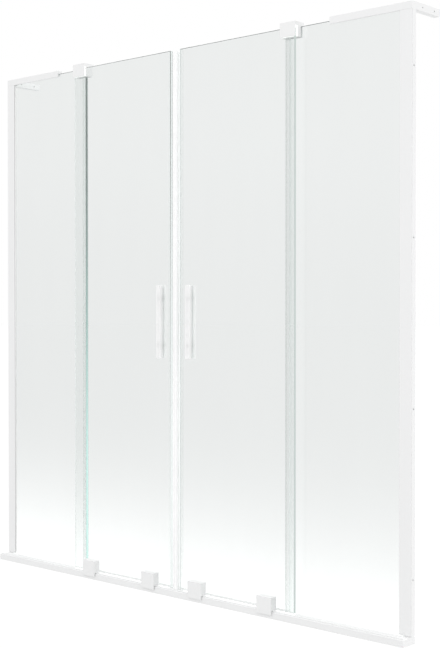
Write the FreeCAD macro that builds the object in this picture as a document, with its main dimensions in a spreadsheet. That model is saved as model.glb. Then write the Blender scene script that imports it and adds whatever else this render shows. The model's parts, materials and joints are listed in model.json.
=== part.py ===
"""Sliding bath screen: two fixed glass panes and two glass doors on one bottom rail.

Millimetres. The origin is the middle of the rail's underside. +X runs to the right along the bath rim,
+Y into the bath and +Z up. The doors slide outwards, in front of the fixed panes.
"""
import FreeCAD, Part
import Sketcher
import os
from types import SimpleNamespace

Vector = FreeCAD.Vector

# Driving dimensions, each set by itself
SIZES = {
    # whole screen
    "screen_width": 1500,
    "screen_height": 1500,
    "glass_thickness": 8,
    "glass_arris": 0.8,
    "edge_round": 1,
    "fit_clearance": 0.1,
    "pin_clearance": 0.05,
    # bottom rail
    "rail_depth": 50,
    "rail_height": 17,
    "rail_wall": 2,
    "track_setback": 5.5,
    "track_width": 4,
    "track_rise": 2.5,
    "track_bevel": 0.8,
    "channel_floor": 5,
    "rail_gasket": 2.5,
    "rail_gasket_floor": 3,
    "rail_gasket_rise": 1,
    "infill_wall": 1.5,
    "infill_gap": 0.5,
    "cap_thickness": 2,
    "cap_plug": 8,
    # wall profiles
    "profile_width": 34,
    "profile_depth": 17,
    "profile_wall": 1.6,
    "profile_foot": 3,
    "glass_pocket": 14,
    "rear_flange_setback": 9,
    "glass_edge_gap": 2,
    "wall_gasket_inset": 0.5,
    "channel_reach": 16,
    "channel_web": 2,
    "cover_wall_gap": 0.5,
    "wall_hole_radius": 2.1,
    "outer_hole_pitch": 1200,
    "inner_hole_pitch": 400,
    # top corner braces
    "brace_length": 240,
    "brace_height": 18,
    "brace_cap": 9,
    "brace_slot_play": 0.5,
    "rear_lip_lift": 4,
    "leg_width": 18,
    "leg_reach": 103,
    "leg_hole_pitch": 50,
    "leg_hole_inset": 25,
    "brace_stud_radius": 2.5,
    "brace_stud_length": 26,
    # doors
    "door_width": 396.5,
    "door_lift": 3.5,
    "door_drop": 3,
    "pane_overlap": 30,
    "track_offset": 10.5,
    # seals
    "meeting_gap": 0.6,
    "magnet_width": 7.2,
    "magnet_inset": 0.5,
    "seal_tube": 10,
    "seal_wall": 1,
    "seal_grip": 9.5,
    "seal_lift": 1,
    "drip_gap": 0.4,
    "drip_lip": 2,
    "lip_lean": 1,
    "lip_gap": 0.4,
    # top guides
    "guide_overhang": 15,
    "guide_width": 49,
    "guide_height": 37,
    "guide_rise": 11,
    "guide_lip": 1.5,
    "guide_play": 0.4,
    "guide_headroom": 3,
    "guide_clamp_thickness": 5.5,
    "liner_thickness": 0.8,
    "guide_screw_radius": 3,
    "guide_screw_depth": 8,
    "guide_screw_rise": 11,
    "guide_hole_play": 2,
    # roller blocks
    "block_width": 49,
    "block_height": 35,
    "block_wall": 3,
    "block_lift": 3,
    "skirt_drop": 10,
    "skirt_gap": 2,
    "outer_block_inset": 82,
    "inner_block_inset": 71.5,
    "carrier_thickness": 3,
    "carrier_lift": 2,
    "pad_thickness": 1,
    "bolt_radius": 3,
    "bolt_head_radius": 6.5,
    "bolt_hole_play": 0.6,
    "bolt_pitch": 26,
    "bolt_rise": 24,
    # rollers
    "tread_radius": 9.5,
    "tread_width": 4.6,
    "flange_height": 1.5,
    "flange_slope": 0.6,
    "roller_width": 8,
    "roller_gap": 0.25,
    "bearing_radius": 6.5,
    "bearing_width": 6,
    "axle_radius": 3,
    "collar_radius": 4.5,
    "collar_thickness": 2,
    "axle_play": 0.2,
    # handles
    "handle_inset": 37.5,
    "handle_width": 16,
    "handle_depth": 11,
    "handle_length": 200,
    "handle_height": 749,
    "handle_round": 1.5,
    "handle_stud_radius": 2,
    "handle_stud_depth": 7,
    "handle_stud_pitch": 128,
    "handle_hole_play": 2,
}

SIDES = {"left": -1, "right": 1}
ALONG_X = FreeCAD.Rotation(Vector(0, 1, 0), 90)
ALONG_Y = FreeCAD.Rotation(Vector(1, 0, 0), -90)
ALONG_Z = FreeCAD.Rotation()


class Size:
    """A length that carries its number and the sheet formula that gives it."""

    def __init__(self, value, formula):
        self.value = value
        self.formula = formula

    @staticmethod
    def of(value):
        return value if isinstance(value, Size) else Size(value, f"({value})")

    def join(self, sign, other, value):
        return Size(value, f"({self.formula} {sign} {Size.of(other).formula})")

    def __add__(self, other):
        return self.join("+", other, self.value + Size.of(other).value)

    def __sub__(self, other):
        return self.join("-", other, self.value - Size.of(other).value)

    def __mul__(self, other):
        return self.join("*", other, self.value * Size.of(other).value)

    def __truediv__(self, other):
        return self.join("/", other, self.value / Size.of(other).value)

    def __rsub__(self, other):
        return Size.of(other) - self

    def __neg__(self):
        return self * -1

    __radd__ = __add__
    __rmul__ = __mul__


doc = FreeCAD.newDocument("bath_screen")
sheet = doc.addObject("Spreadsheet::Sheet", "sizes")
for row, (name, number) in enumerate(SIZES.items(), start=1):
    sheet.set(f"A{row}", name)
    sheet.set(f"B{row}", str(number))
    sheet.setAlias(f"B{row}", name)
doc.recompute()
dim = SimpleNamespace(**{name: Size(number, f"sizes.{name}") for name, number in SIZES.items()})

# Depths, from the front of the rail to its back
rail_front = -dim.rail_depth / 2
rail_back = dim.rail_depth / 2
track_line = rail_front + dim.track_setback
door_front = track_line + dim.track_offset
door_back = door_front + dim.glass_thickness
block_front = rail_front - dim.skirt_gap - dim.block_wall
profile_front = rail_back - dim.profile_depth
pane_line = rail_back - dim.profile_depth / 2
pane_front = pane_line - dim.glass_thickness / 2
pane_back = pane_line + dim.glass_thickness / 2
channel_front = pane_front - dim.rail_gasket
channel_back = pane_back + dim.rail_gasket

# Heights, from the rail's underside up
track_top = dim.rail_height + dim.track_rise
profile_bottom = dim.rail_height + dim.profile_foot
brace_bottom = dim.screen_height - dim.brace_height
pane_bottom = dim.channel_floor + dim.rail_gasket_floor
pane_top = dim.screen_height - dim.brace_cap
door_bottom = dim.rail_height + dim.door_lift
door_top = pane_top - dim.door_drop
guide_top = pane_top + dim.guide_rise
guide_bottom = guide_top - dim.guide_height
block_bottom = dim.rail_height + dim.block_lift
block_top = block_bottom + dim.block_height
wheel_height = track_top + dim.roller_gap + dim.tread_radius
bolt_height = block_bottom + dim.bolt_rise

# Distances from the middle, outwards on both sides
half_width = dim.screen_width / 2
magnet_start = dim.meeting_gap / 2
seal_start = magnet_start + dim.magnet_width
door_inner = seal_start + dim.seal_tube
seal_end = door_inner + dim.seal_grip
door_outer = door_inner + dim.door_width
pane_inner = door_outer - dim.pane_overlap
profile_inner = half_width - dim.profile_width
rear_flange_inner = profile_inner + dim.rear_flange_setback
pocket_end = profile_inner + dim.glass_pocket
pane_outer = pocket_end - dim.glass_edge_gap
guide_inner = pane_inner - dim.guide_overhang
guide_outer = guide_inner + dim.guide_width
guide_screw_place = (pane_inner + guide_outer) / 2
handle_place = door_inner + dim.handle_inset
block_places = {
    "outer": door_outer - dim.outer_block_inset,
    "inner": door_inner + dim.inner_block_inset,
}

# Shared sizes of mating pieces
guide_slot_front = door_front - dim.guide_play - dim.liner_thickness
guide_slot_back = door_back + dim.guide_play + dim.liner_thickness
guide_slot_top = door_top + dim.guide_headroom + dim.liner_thickness
guide_screw_height = guide_bottom + dim.guide_screw_rise
bolt_hole_radius = dim.bolt_radius + dim.bolt_hole_play
bolt_head_height = dim.bolt_head_radius - dim.bolt_radius
handle_hole_radius = dim.handle_stud_radius + dim.handle_hole_play
carrier_front = door_front - dim.pad_thickness - dim.carrier_thickness
carrier_bottom = block_bottom + dim.carrier_lift
carrier_half = dim.block_width / 2 - dim.block_wall - dim.fit_clearance
carrier_top = block_top - dim.block_wall - dim.fit_clearance

nodes = []


def keep(piece, label):
    """Names a finished piece and puts it on the list that is written out."""
    piece.Label = label
    nodes.append(piece)
    return piece


def bind(piece, **properties):
    """Ties properties of a document object to the sheet."""
    for name, value in properties.items():
        piece.setExpression(name, Size.of(value).formula)


def place(piece, x=0, y=0, z=0, turn=ALONG_Z):
    """Turns a piece and ties its position to the sheet."""
    piece.Placement = FreeCAD.Placement(Vector(), turn)
    for axis, value in zip("xyz", (x, y, z)):
        piece.setExpression(f"Placement.Base.{axis}", Size.of(value).formula)
    return piece


def lower(side, near, far):
    """The low X of a stretch that reaches from near to far on one side of the middle."""
    return near if side > 0 else -far


def box(name, x, y, z):
    """A box between pairs of low and high values along the three axes."""
    piece = doc.addObject("Part::Box", name)
    lengths = [Size.of(high) - low for low, high in (x, y, z)]
    bind(piece, Length=lengths[0], Width=lengths[1], Height=lengths[2])
    return place(piece, x[0], y[0], z[0])


def rod(name, radius, length, start, turn):
    """A round bar from a start point along the axis that the turn gives."""
    piece = doc.addObject("Part::Cylinder", name)
    bind(piece, Radius=radius, Height=length)
    return place(piece, *start, turn=turn)


def cut(name, base, tools):
    """The base piece with the tools taken out of it, one after the other."""
    for count, tool in enumerate(tools):
        piece = doc.addObject("Part::Cut", f"{name}_cut_{count}")
        piece.Base = base
        piece.Tool = tool
        base = piece
    return base


def join(name, pieces):
    """Several pieces made one solid."""
    piece = doc.addObject("Part::MultiFuse", name)
    piece.Shapes = pieces
    piece.Refine = True
    return piece


def group(name, pieces):
    """Several separate solids of one kind under one name."""
    piece = doc.addObject("Part::Compound", name)
    piece.Links = pieces
    return keep(piece, name)


def new_body(name):
    return doc.addObject("PartDesign::Body", name)


def attach(body, name, plane, offset):
    """An empty sketch on one of the body's own origin planes, moved along its normal."""
    sketch = body.newObject("Sketcher::SketchObject", name)
    support = next(item for item in body.Origin.OriginFeatures if item.Role == plane)
    sketch.AttachmentSupport = [(support, "")]
    sketch.MapMode = "FlatFace"
    sketch.setExpression("AttachmentOffset.Base.z", Size.of(offset).formula)
    return sketch


def tie_point(sketch, curve, point, values):
    """Ties the two coordinates of a sketch point to the sheet."""
    for kind, value in zip(("DistanceX", "DistanceY"), values):
        size = Size.of(value)
        index = sketch.addConstraint(Sketcher.Constraint(kind, -1, 1, curve, point, size.value))
        sketch.setExpression(f"Constraints[{index}]", size.formula)


def draw_loops(body, name, plane, offset, *loops):
    """A sketch of closed straight outlines, each a list of corner points."""
    sketch = attach(body, name, plane, offset)
    for loop in loops:
        corners = [Vector(Size.of(u).value, Size.of(v).value, 0) for u, v in loop]
        lines = [Part.LineSegment(a, b) for a, b in zip(corners, corners[1:] + corners[:1])]
        curves = sketch.addGeometry(lines)
        for here, following in zip(curves, curves[1:] + curves[:1]):
            sketch.addConstraint(Sketcher.Constraint("Coincident", here, 2, following, 1))
        for curve, point in zip(curves, loop):
            tie_point(sketch, curve, 1, point)
    return sketch


def draw_circles(body, name, plane, offset, circles):
    """A sketch of circles, each a centre and a radius."""
    sketch = attach(body, name, plane, offset)
    for u, v, radius in circles:
        centre = Vector(Size.of(u).value, Size.of(v).value, 0)
        curve = sketch.addGeometry(Part.Circle(centre, Vector(0, 0, 1), radius.value))
        tie_point(sketch, curve, 3, (u, v))
        index = sketch.addConstraint(Sketcher.Constraint("Radius", curve, radius.value))
        sketch.setExpression(f"Constraints[{index}]", radius.formula)
    return sketch


def rectangle(u, v):
    """The corners of a rectangle between pairs of low and high values."""
    return [(u[0], v[0]), (u[1], v[0]), (u[1], v[1]), (u[0], v[1])]


def pad(body, sketch, length):
    feature = body.newObject("PartDesign::Pad", f"{sketch.Name}_pad")
    feature.Profile = sketch
    bind(feature, Length=length)
    doc.recompute()
    return feature


def drill(body, sketch):
    """Cuts the sketch right through the body, both ways."""
    before = body.Shape.Volume
    feature = body.newObject("PartDesign::Pocket", f"{sketch.Name}_pocket")
    feature.Profile = sketch
    feature.Type = "ThroughAll"
    feature.Midplane = True
    doc.recompute()
    if body.Shape.Volume >= before:
        raise RuntimeError(f"{body.Name}: {sketch.Name} cuts nothing")
    return feature


def turn_round(body, sketch):
    """Turns the sketch once about its upright axis."""
    feature = body.newObject("PartDesign::Revolution", f"{sketch.Name}_turn")
    feature.Profile = sketch
    feature.ReferenceAxis = (sketch, ["V_Axis"])
    feature.Angle = 360
    doc.recompute()
    return feature


def ease(body, kind, size_name, size, wanted):
    """Adds a Fillet or a Chamfer to the edges of the body that the test picks."""
    base = body.Tip
    edges = base.Shape.Edges
    names = [f"Edge{count}" for count, edge in enumerate(edges, start=1) if wanted(edge)]
    feature = body.newObject(f"PartDesign::{kind}", f"{body.Name}_{kind.lower()}")
    feature.Base = (base, names)
    bind(feature, **{size_name: size})
    doc.recompute()
    return feature


def lies_at(edge, **places):
    """Whether an edge lies wholly at the given X, Y or Z."""
    limits = edge.BoundBox
    spans = {
        "x": (limits.XMin, limits.XMax),
        "y": (limits.YMin, limits.YMax),
        "z": (limits.ZMin, limits.ZMax),
    }
    return all(
        abs(bound - Size.of(value).value) < 1e-4
        for axis, value in places.items()
        for bound in spans[axis]
    )


# Bottom rail


def bottom_rail():
    """Hollow extrusion with a bead for the rollers in front and a glazing channel at the back."""
    body = new_body("rail_body")
    half_track = dim.track_width / 2
    bevel_start = half_track - dim.track_bevel
    outside = [
        (rail_front, 0),
        (rail_back, 0),
        (rail_back, dim.rail_height),
        (channel_back, dim.rail_height),
        (channel_back, dim.channel_floor),
        (channel_front, dim.channel_floor),
        (channel_front, dim.rail_height),
        (track_line + half_track, dim.rail_height),
        (track_line + half_track, track_top - dim.track_bevel),
        (track_line + bevel_start, track_top),
        (track_line - bevel_start, track_top),
        (track_line - half_track, track_top - dim.track_bevel),
        (track_line - half_track, dim.rail_height),
        (rail_front, dim.rail_height),
    ]
    inside = (dim.rail_wall, dim.rail_height - dim.rail_wall)
    front_cell = rectangle((rail_front + dim.rail_wall, track_line - dim.rail_wall / 2), inside)
    main_cell = rectangle((track_line + dim.rail_wall / 2, channel_front - dim.rail_wall), inside)
    end = half_width - dim.cap_thickness
    section = draw_loops(body, "rail_section", "YZ_Plane", -end, outside, front_cell, main_cell)
    pad(body, section, end * 2)
    round_rail_front(body)
    keep(body, "bottom_rail")


def round_rail_front(body):
    """Rounds the two long front edges of the rail, or of the cap that closes it."""
    heights = (0, dim.rail_height)
    ease(
        body, "Fillet", "Radius", dim.edge_round,
        lambda edge: any(lies_at(edge, y=rail_front, z=z) for z in heights),
    )


def rail_end_cap(word, side):
    """Plate over the rail's end, with plugs into the rail and a foot under the wall profile."""
    body = new_body(f"cap_body_{word}")
    plate = rectangle((rail_front, rail_back), (0, dim.rail_height))
    inner = half_width - dim.cap_thickness
    start = lower(side, inner, half_width)
    pad(body, draw_loops(body, f"cap_plate_{word}", "YZ_Plane", start, plate), dim.cap_thickness)
    round_rail_front(body)
    reach = pane_outer + dim.glass_edge_gap
    foot = rectangle(
        (channel_front + dim.fit_clearance, channel_back - dim.fit_clearance),
        (dim.channel_floor + dim.fit_clearance, profile_bottom),
    )
    start = lower(side, reach, half_width)
    pad(body, draw_loops(body, f"cap_foot_{word}", "YZ_Plane", start, foot), half_width - reach)
    play = dim.rail_wall + dim.fit_clearance
    plug = rectangle(
        (track_line + dim.rail_wall / 2 + dim.fit_clearance, channel_front - play),
        (play, dim.rail_height - play),
    )
    start = lower(side, inner - dim.cap_plug, half_width)
    depth = dim.cap_plug + dim.cap_thickness
    pad(body, draw_loops(body, f"cap_plug_{word}", "YZ_Plane", start, plug), depth)
    keep(body, f"rail_end_cap_{word}")


def rail_infill():
    """Snap-in strip that closes the glazing channel between the two fixed panes."""
    body = new_body("infill_body")
    front = channel_front + dim.fit_clearance
    back = channel_back - dim.fit_clearance
    under = dim.rail_height - dim.infill_wall
    outline = [
        (front, dim.channel_floor),
        (front, dim.rail_height),
        (back, dim.rail_height),
        (back, dim.channel_floor),
        (back - dim.infill_wall, dim.channel_floor),
        (back - dim.infill_wall, under),
        (front + dim.infill_wall, under),
        (front + dim.infill_wall, dim.channel_floor),
    ]
    end = pane_inner - dim.infill_gap
    pad(body, draw_loops(body, "infill_section", "YZ_Plane", -end, outline), end * 2)
    keep(body, "rail_infill")


# Wall profiles


def wall_channel(word, side):
    """Channel that is screwed to the wall, with four holes in its web."""
    body = new_body(f"channel_body_{word}")
    front = profile_front + dim.profile_wall + dim.fit_clearance
    back = rail_back - dim.profile_wall - dim.fit_clearance
    web = half_width - dim.channel_web
    tip = half_width - dim.channel_reach
    outline = [
        (side * half_width, front),
        (side * tip, front),
        (side * tip, front + dim.profile_wall),
        (side * web, front + dim.profile_wall),
        (side * web, back - dim.profile_wall),
        (side * tip, back - dim.profile_wall),
        (side * tip, back),
        (side * half_width, back),
    ]
    section = draw_loops(body, f"channel_section_{word}", "XY_Plane", profile_bottom, outline)
    pad(body, section, brace_bottom - profile_bottom)
    middle = (profile_bottom + brace_bottom) / 2
    holes = [
        (pane_line, middle + sign * pitch / 2, dim.wall_hole_radius)
        for pitch in (dim.outer_hole_pitch, dim.inner_hole_pitch)
        for sign in (-1, 1)
    ]
    drill(body, draw_circles(body, f"channel_holes_{word}", "YZ_Plane", 0, holes))
    keep(body, f"wall_channel_{word}")


def cover_profile(word, side):
    """Visible profile that slips over the wall channel and holds the fixed pane's edge.

    Its rear flange reaches less far over the glass than the front one.
    """
    body = new_body(f"cover_body_{word}")
    wall = dim.profile_wall
    wall_side = half_width - dim.cover_wall_gap
    web = pocket_end + wall
    outline = [
        (side * profile_inner, profile_front),
        (side * wall_side, profile_front),
        (side * wall_side, profile_front + wall),
        (side * web, profile_front + wall),
        (side * web, rail_back - wall),
        (side * wall_side, rail_back - wall),
        (side * wall_side, rail_back),
        (side * rear_flange_inner, rail_back),
        (side * rear_flange_inner, rail_back - wall),
        (side * pocket_end, rail_back - wall),
        (side * pocket_end, profile_front + wall),
        (side * profile_inner, profile_front + wall),
    ]
    section = draw_loops(body, f"cover_section_{word}", "XY_Plane", profile_bottom, outline)
    pad(body, section, brace_bottom - profile_bottom)
    corners = [(profile_inner, profile_front), (rear_flange_inner, rail_back)]
    ease(
        body, "Fillet", "Radius", wall / 2,
        lambda edge: any(lies_at(edge, x=side * x, y=y) for x, y in corners),
    )
    keep(body, f"cover_profile_{word}")


def wall_gaskets():
    """Strips that fill the space between the pane and both flanges of each cover profile."""
    strips = []
    heights = (profile_bottom, brace_bottom)
    layers = {
        "front": (profile_inner, (profile_front + dim.profile_wall, pane_front)),
        "back": (rear_flange_inner, (pane_back, rail_back - dim.profile_wall)),
    }
    for word, side in SIDES.items():
        for layer, (flange, depths) in layers.items():
            edge = flange + dim.wall_gasket_inset
            start = lower(side, edge, pane_outer)
            along = (start, start + pane_outer - edge)
            strips.append(box(f"wall_gasket_{word}_{layer}", along, depths, heights))
    group("wall_gaskets", strips)


# Fixed panes


def glass_plate(body, name, side, near, far, front, heights, holes):
    """A toughened pane with ground edges, drilled before the arris is ground."""
    low = lower(side, near, far)
    back = front + dim.glass_thickness
    outline = rectangle((low, low + far - near), heights)
    pad(body, draw_loops(body, f"{name}_outline", "XZ_Plane", -back, outline), dim.glass_thickness)
    ease(
        body, "Chamfer", "Size", dim.glass_arris,
        lambda edge: lies_at(edge, y=front) or lies_at(edge, y=back),
    )
    drill(body, draw_circles(body, f"{name}_holes", "XZ_Plane", 0, holes))


def fixed_glass(word, side):
    body = new_body(f"pane_body_{word}")
    hole_radius = dim.guide_screw_radius + dim.guide_hole_play
    holes = [(side * guide_screw_place, guide_screw_height, hole_radius)]
    heights = (pane_bottom, pane_top)
    glass_plate(body, f"pane_{word}", side, pane_inner, pane_outer, pane_front, heights, holes)
    keep(body, f"fixed_glass_{word}")


def rail_gaskets():
    """Channel gaskets that the fixed panes stand in, one in each half of the rail."""
    strips = []
    rise = dim.rail_height + dim.rail_gasket_rise
    outline = [
        (channel_front, dim.channel_floor),
        (channel_back, dim.channel_floor),
        (channel_back, rise),
        (pane_back, rise),
        (pane_back, pane_bottom),
        (pane_front, pane_bottom),
        (pane_front, rise),
        (channel_front, rise),
    ]
    for word, side in SIDES.items():
        body = new_body(f"rail_gasket_{word}")
        start = lower(side, pane_inner, pane_outer)
        section = draw_loops(body, f"rail_gasket_section_{word}", "YZ_Plane", start, outline)
        pad(body, section, pane_outer - pane_inner)
        strips.append(body)
    group("rail_gaskets", strips)


def overlap_seal(word, side):
    """Clear clip on the fixed pane's free edge, with a lip that leans out to the door's back."""
    body = new_body(f"overlap_body_{word}")
    wall = dim.seal_wall
    nose = pane_inner - wall
    grip = pane_inner + dim.seal_grip
    tip = nose - dim.lip_lean
    tip_depth = door_back + dim.lip_gap
    outline = [
        (side * nose, pane_back + wall),
        (side * grip, pane_back + wall),
        (side * grip, pane_back),
        (side * pane_inner, pane_back),
        (side * pane_inner, pane_front),
        (side * grip, pane_front),
        (side * grip, pane_front - wall),
        (side * (nose + wall), pane_front - wall),
        (side * (tip + wall), tip_depth),
        (side * tip, tip_depth),
        (side * nose, pane_front - wall),
    ]
    foot = dim.rail_height + dim.rail_gasket_rise + dim.seal_lift
    section = draw_loops(body, f"overlap_section_{word}", "XY_Plane", foot, outline)
    pad(body, section, guide_bottom - dim.seal_lift - foot)
    keep(body, f"overlap_seal_{word}")


# Top corner braces


def brace_bar(word, side):
    """Bar along the fixed pane's top, slotted over the glass and standing on the wall profile."""
    body = new_body(f"brace_body_{word}")
    inner_end = half_width - dim.brace_length
    start = lower(side, inner_end, half_width)
    outline = rectangle((profile_front, rail_back), (brace_bottom, dim.screen_height))
    section = draw_loops(body, f"brace_section_{word}", "YZ_Plane", start, outline)
    pad(body, section, dim.brace_length)
    ease(
        body, "Fillet", "Radius", dim.edge_round,
        lambda edge: any(lies_at(edge, y=profile_front, **end) for end in (
            {"z": brace_bottom}, {"z": dim.screen_height}, {"x": side * inner_end},
        )),
    )
    tools = [brace_slot(word, side), rear_lip_relief(word, side), brace_stud_bore(word, side)]
    keep(cut(f"brace_bar_{word}", body, tools), f"brace_bar_{word}")


def brace_slot(word, side):
    """The space over the pane's top edge, closed towards the wall."""
    play = dim.brace_slot_play
    near = half_width - dim.brace_length
    far = pane_outer + play
    start = lower(side, near, far)
    depths = (pane_front - play, pane_back + play)
    return box(f"brace_slot_{word}", (start, start + far - near), depths, (brace_bottom, pane_top + play))


def rear_lip_relief(word, side):
    """What is taken off under the bar's rear lip, beside the wall profile."""
    near = half_width - dim.brace_length
    start = lower(side, near, profile_inner)
    depths = (pane_back + dim.brace_slot_play, rail_back)
    heights = (brace_bottom, brace_bottom + dim.rear_lip_lift)
    return box(f"rear_lip_relief_{word}", (start, start + profile_inner - near), depths, heights)


def brace_stud_line(side):
    """The X and Z of the hidden stud in the brace's corner."""
    solid_bottom = pane_top + dim.brace_slot_play
    return side * (half_width - dim.leg_width / 2), (solid_bottom + dim.screen_height) / 2


def brace_stud_bore(word, side):
    x, z = brace_stud_line(side)
    length = dim.brace_stud_length + dim.pin_clearance * 2
    start = (x, rail_back - length / 2, z)
    return rod(f"brace_bore_{word}", dim.brace_stud_radius + dim.pin_clearance, length, start, ALONG_Y)


def brace_leg(word, side):
    """Leg that runs back along the wall from the bar, with two holes for wall screws."""
    body = new_body(f"leg_body_{word}")
    inner = half_width - dim.leg_width
    low = lower(side, inner, half_width)
    back = rail_back + dim.leg_reach
    outline = rectangle((low, low + dim.leg_width), (brace_bottom, dim.screen_height))
    pad(body, draw_loops(body, f"leg_outline_{word}", "XZ_Plane", -back, outline), dim.leg_reach)
    heights = (brace_bottom, dim.screen_height)
    ease(
        body, "Fillet", "Radius", dim.edge_round,
        lambda edge: any(lies_at(edge, x=side * inner, z=z) for z in heights) or (
            lies_at(edge, y=back) and not lies_at(edge, x=side * half_width)
        ),
    )
    middle = (brace_bottom + dim.screen_height) / 2
    first = back - dim.leg_hole_inset
    holes = [(y, middle, dim.wall_hole_radius) for y in (first, first - dim.leg_hole_pitch)]
    drill(body, draw_circles(body, f"leg_holes_{word}", "YZ_Plane", 0, holes))
    bore = brace_stud_bore(f"leg_{word}", side)
    keep(cut(f"brace_leg_{word}", body, [bore]), f"brace_leg_{word}")


def brace_studs():
    """Threaded studs in blind bores that join each bar to its leg."""
    studs = []
    for word, side in SIDES.items():
        x, z = brace_stud_line(side)
        length = dim.brace_stud_length
        start = (x, rail_back - length / 2, z)
        studs.append(rod(f"brace_stud_{word}", dim.brace_stud_radius, length, start, ALONG_Y))
    group("brace_studs", studs)


# Top guides


def guide_section(word, side, name, outline):
    """A body with the given section, as wide as the guide."""
    body = new_body(f"{name}_body_{word}")
    start = lower(side, guide_inner, guide_outer)
    section = draw_loops(body, f"{name}_section_{word}", "YZ_Plane", start, outline)
    pad(body, section, dim.guide_width)
    return body


def guide_body(word, side):
    """Block on the fixed pane's corner whose slot keeps the door's top edge upright."""
    lip_front = guide_slot_front - dim.guide_lip
    shelf = pane_top + dim.fit_clearance
    outline = [
        (lip_front, guide_bottom),
        (lip_front, guide_top),
        (pane_back, guide_top),
        (pane_back, shelf),
        (pane_front, shelf),
        (pane_front, guide_bottom),
        (guide_slot_back, guide_bottom),
        (guide_slot_back, guide_slot_top),
        (guide_slot_front, guide_slot_top),
        (guide_slot_front, guide_bottom),
    ]
    body = guide_section(word, side, "guide_block", outline)
    ease(body, "Fillet", "Radius", dim.edge_round, lambda edge: lies_at(edge, y=lip_front))
    depth = dim.guide_screw_depth + dim.pin_clearance
    start = (side * guide_screw_place, pane_front - depth, guide_screw_height)
    bore = rod(f"guide_bore_{word}", dim.guide_screw_radius + dim.pin_clearance, depth, start, ALONG_Y)
    whole = join(f"guide_whole_{word}", [body, guide_nose(word, side)])
    keep(cut(f"guide_body_{word}", whole, [bore]), f"guide_body_{word}")


def guide_nose(word, side):
    """What closes the guide's end, from its block back to its clamp, beyond the pane's free edge."""
    far = pane_inner - dim.fit_clearance
    start = lower(side, guide_inner, far)
    heights = (guide_bottom, pane_top + dim.fit_clearance)
    return box(f"guide_nose_{word}", (start, start + far - guide_inner), (pane_front, pane_back), heights)


def guide_clamp(word, side):
    """Plate behind the fixed pane that the guide's screw draws tight."""
    back = pane_back + dim.guide_clamp_thickness
    outline = rectangle((pane_back, back), (guide_bottom, guide_top))
    body = guide_section(word, side, "guide_plate", outline)
    ease(body, "Fillet", "Radius", dim.edge_round, lambda edge: lies_at(edge, y=back))
    tools = guide_screw_solids(f"clamp_hole_{word}", side, dim.pin_clearance)
    keep(cut(f"guide_clamp_{word}", body, tools), f"guide_clamp_{word}")


def guide_screw_solids(name, side, play):
    """Shank and countersunk head of a guide screw, or of the hole for one with play round it."""
    back = pane_back + dim.guide_clamp_thickness
    x = side * guide_screw_place
    radius = dim.guide_screw_radius + play
    tip = pane_front - dim.guide_screw_depth
    shank = rod(f"{name}_shank", radius, back - tip, (x, tip, guide_screw_height), ALONG_Y)
    head = doc.addObject("Part::Cone", f"{name}_head")
    bind(head, Radius1=radius, Radius2=radius * 2, Height=radius)
    place(head, x, back - radius, guide_screw_height, turn=ALONG_Y)
    return [shank, head]


def guide_screws():
    screws = [
        join(f"guide_screw_{word}", guide_screw_solids(f"guide_screw_{word}", side, 0))
        for word, side in SIDES.items()
    ]
    group("guide_screws", screws)


def guide_liner(word, side):
    """Slippery lining of the guide's slot, open below."""
    wall = dim.liner_thickness
    outline = [
        (guide_slot_front, guide_bottom),
        (guide_slot_front, guide_slot_top),
        (guide_slot_back, guide_slot_top),
        (guide_slot_back, guide_bottom),
        (guide_slot_back - wall, guide_bottom),
        (guide_slot_back - wall, guide_slot_top - wall),
        (guide_slot_front + wall, guide_slot_top - wall),
        (guide_slot_front + wall, guide_bottom),
    ]
    keep(guide_section(word, side, "liner", outline), f"guide_liner_{word}")


# Doors


def bolt_places(side):
    """The X of each countersunk bolt in a door, two at each roller block."""
    return [
        side * block + sign * dim.bolt_pitch / 2
        for block in block_places.values()
        for sign in (-1, 1)
    ]


def handle_stud_heights():
    return [dim.handle_height + sign * dim.handle_stud_pitch / 2 for sign in (-1, 1)]


def door_glass(word, side):
    """Sliding pane with countersunk holes for the roller blocks and plain ones for the handle."""
    body = new_body(f"door_body_{word}")
    holes = [(x, bolt_height, bolt_hole_radius) for x in bolt_places(side)]
    holes += [(side * handle_place, z, handle_hole_radius) for z in handle_stud_heights()]
    heights = (door_bottom, door_top)
    glass_plate(body, f"door_{word}", side, door_inner, door_outer, door_front, heights, holes)
    rim = bolt_hole_radius.value
    ease(
        body, "Chamfer", "Size", bolt_head_height,
        lambda edge: lies_at(edge, y=door_back) and abs(edge.BoundBox.XLength - 2 * rim) < 0.01,
    )
    keep(body, f"door_glass_{word}")


def meeting_seal(word, side):
    """Clear tube with two legs that clip over the door's leading edge and carry the magnet."""
    body = new_body(f"meeting_body_{word}")
    wall = dim.seal_wall
    outside = [
        (side * seal_start, door_front - wall),
        (side * seal_end, door_front - wall),
        (side * seal_end, door_front),
        (side * door_inner, door_front),
        (side * door_inner, door_back),
        (side * seal_end, door_back),
        (side * seal_end, door_back + wall),
        (side * seal_start, door_back + wall),
    ]
    tube = rectangle(
        (side * (seal_start + wall), side * (door_inner - wall)), (door_front, door_back)
    )
    foot = dim.rail_height + dim.seal_lift
    section = draw_loops(body, f"meeting_section_{word}", "XY_Plane", foot, outside, tube)
    pad(body, section, door_top - foot)
    keep(body, f"meeting_seal_{word}")


def magnet_strip(word, side):
    """White magnet strip on the meeting seal's face."""
    low = lower(side, magnet_start, seal_start)
    depths = (door_front - dim.magnet_inset, door_back + dim.magnet_inset)
    heights = (dim.rail_height + dim.seal_lift, door_top)
    strip = box(f"magnet_{word}", (low, low + dim.magnet_width), depths, heights)
    keep(strip, f"magnet_strip_{word}")


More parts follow.
